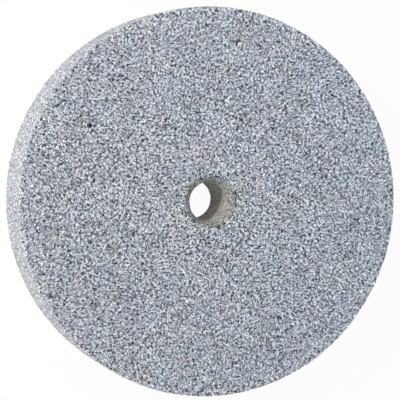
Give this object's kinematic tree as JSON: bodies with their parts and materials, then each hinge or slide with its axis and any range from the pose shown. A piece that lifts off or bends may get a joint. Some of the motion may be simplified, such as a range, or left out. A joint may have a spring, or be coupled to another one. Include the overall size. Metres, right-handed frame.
{
  "type": "grinding wheel",
  "caption": "Thick round abrasive wheel of coarse grey grain, with a plain spindle bore that flares at its front face.",
  "frame": {"origin": "centre of the bore at the back face, on which the wheel lies", "axes": "+Z along the bore axis, out of the flared mouth in the front face"},
  "size_m": [0.2, 0.2, 0.04],
  "materials": {
    "abrasive": "matte, open coarse grain"
  },
  "bodies": {
    "root": {"grinding_wheel": "abrasive"}
  },
  "joints": []
}
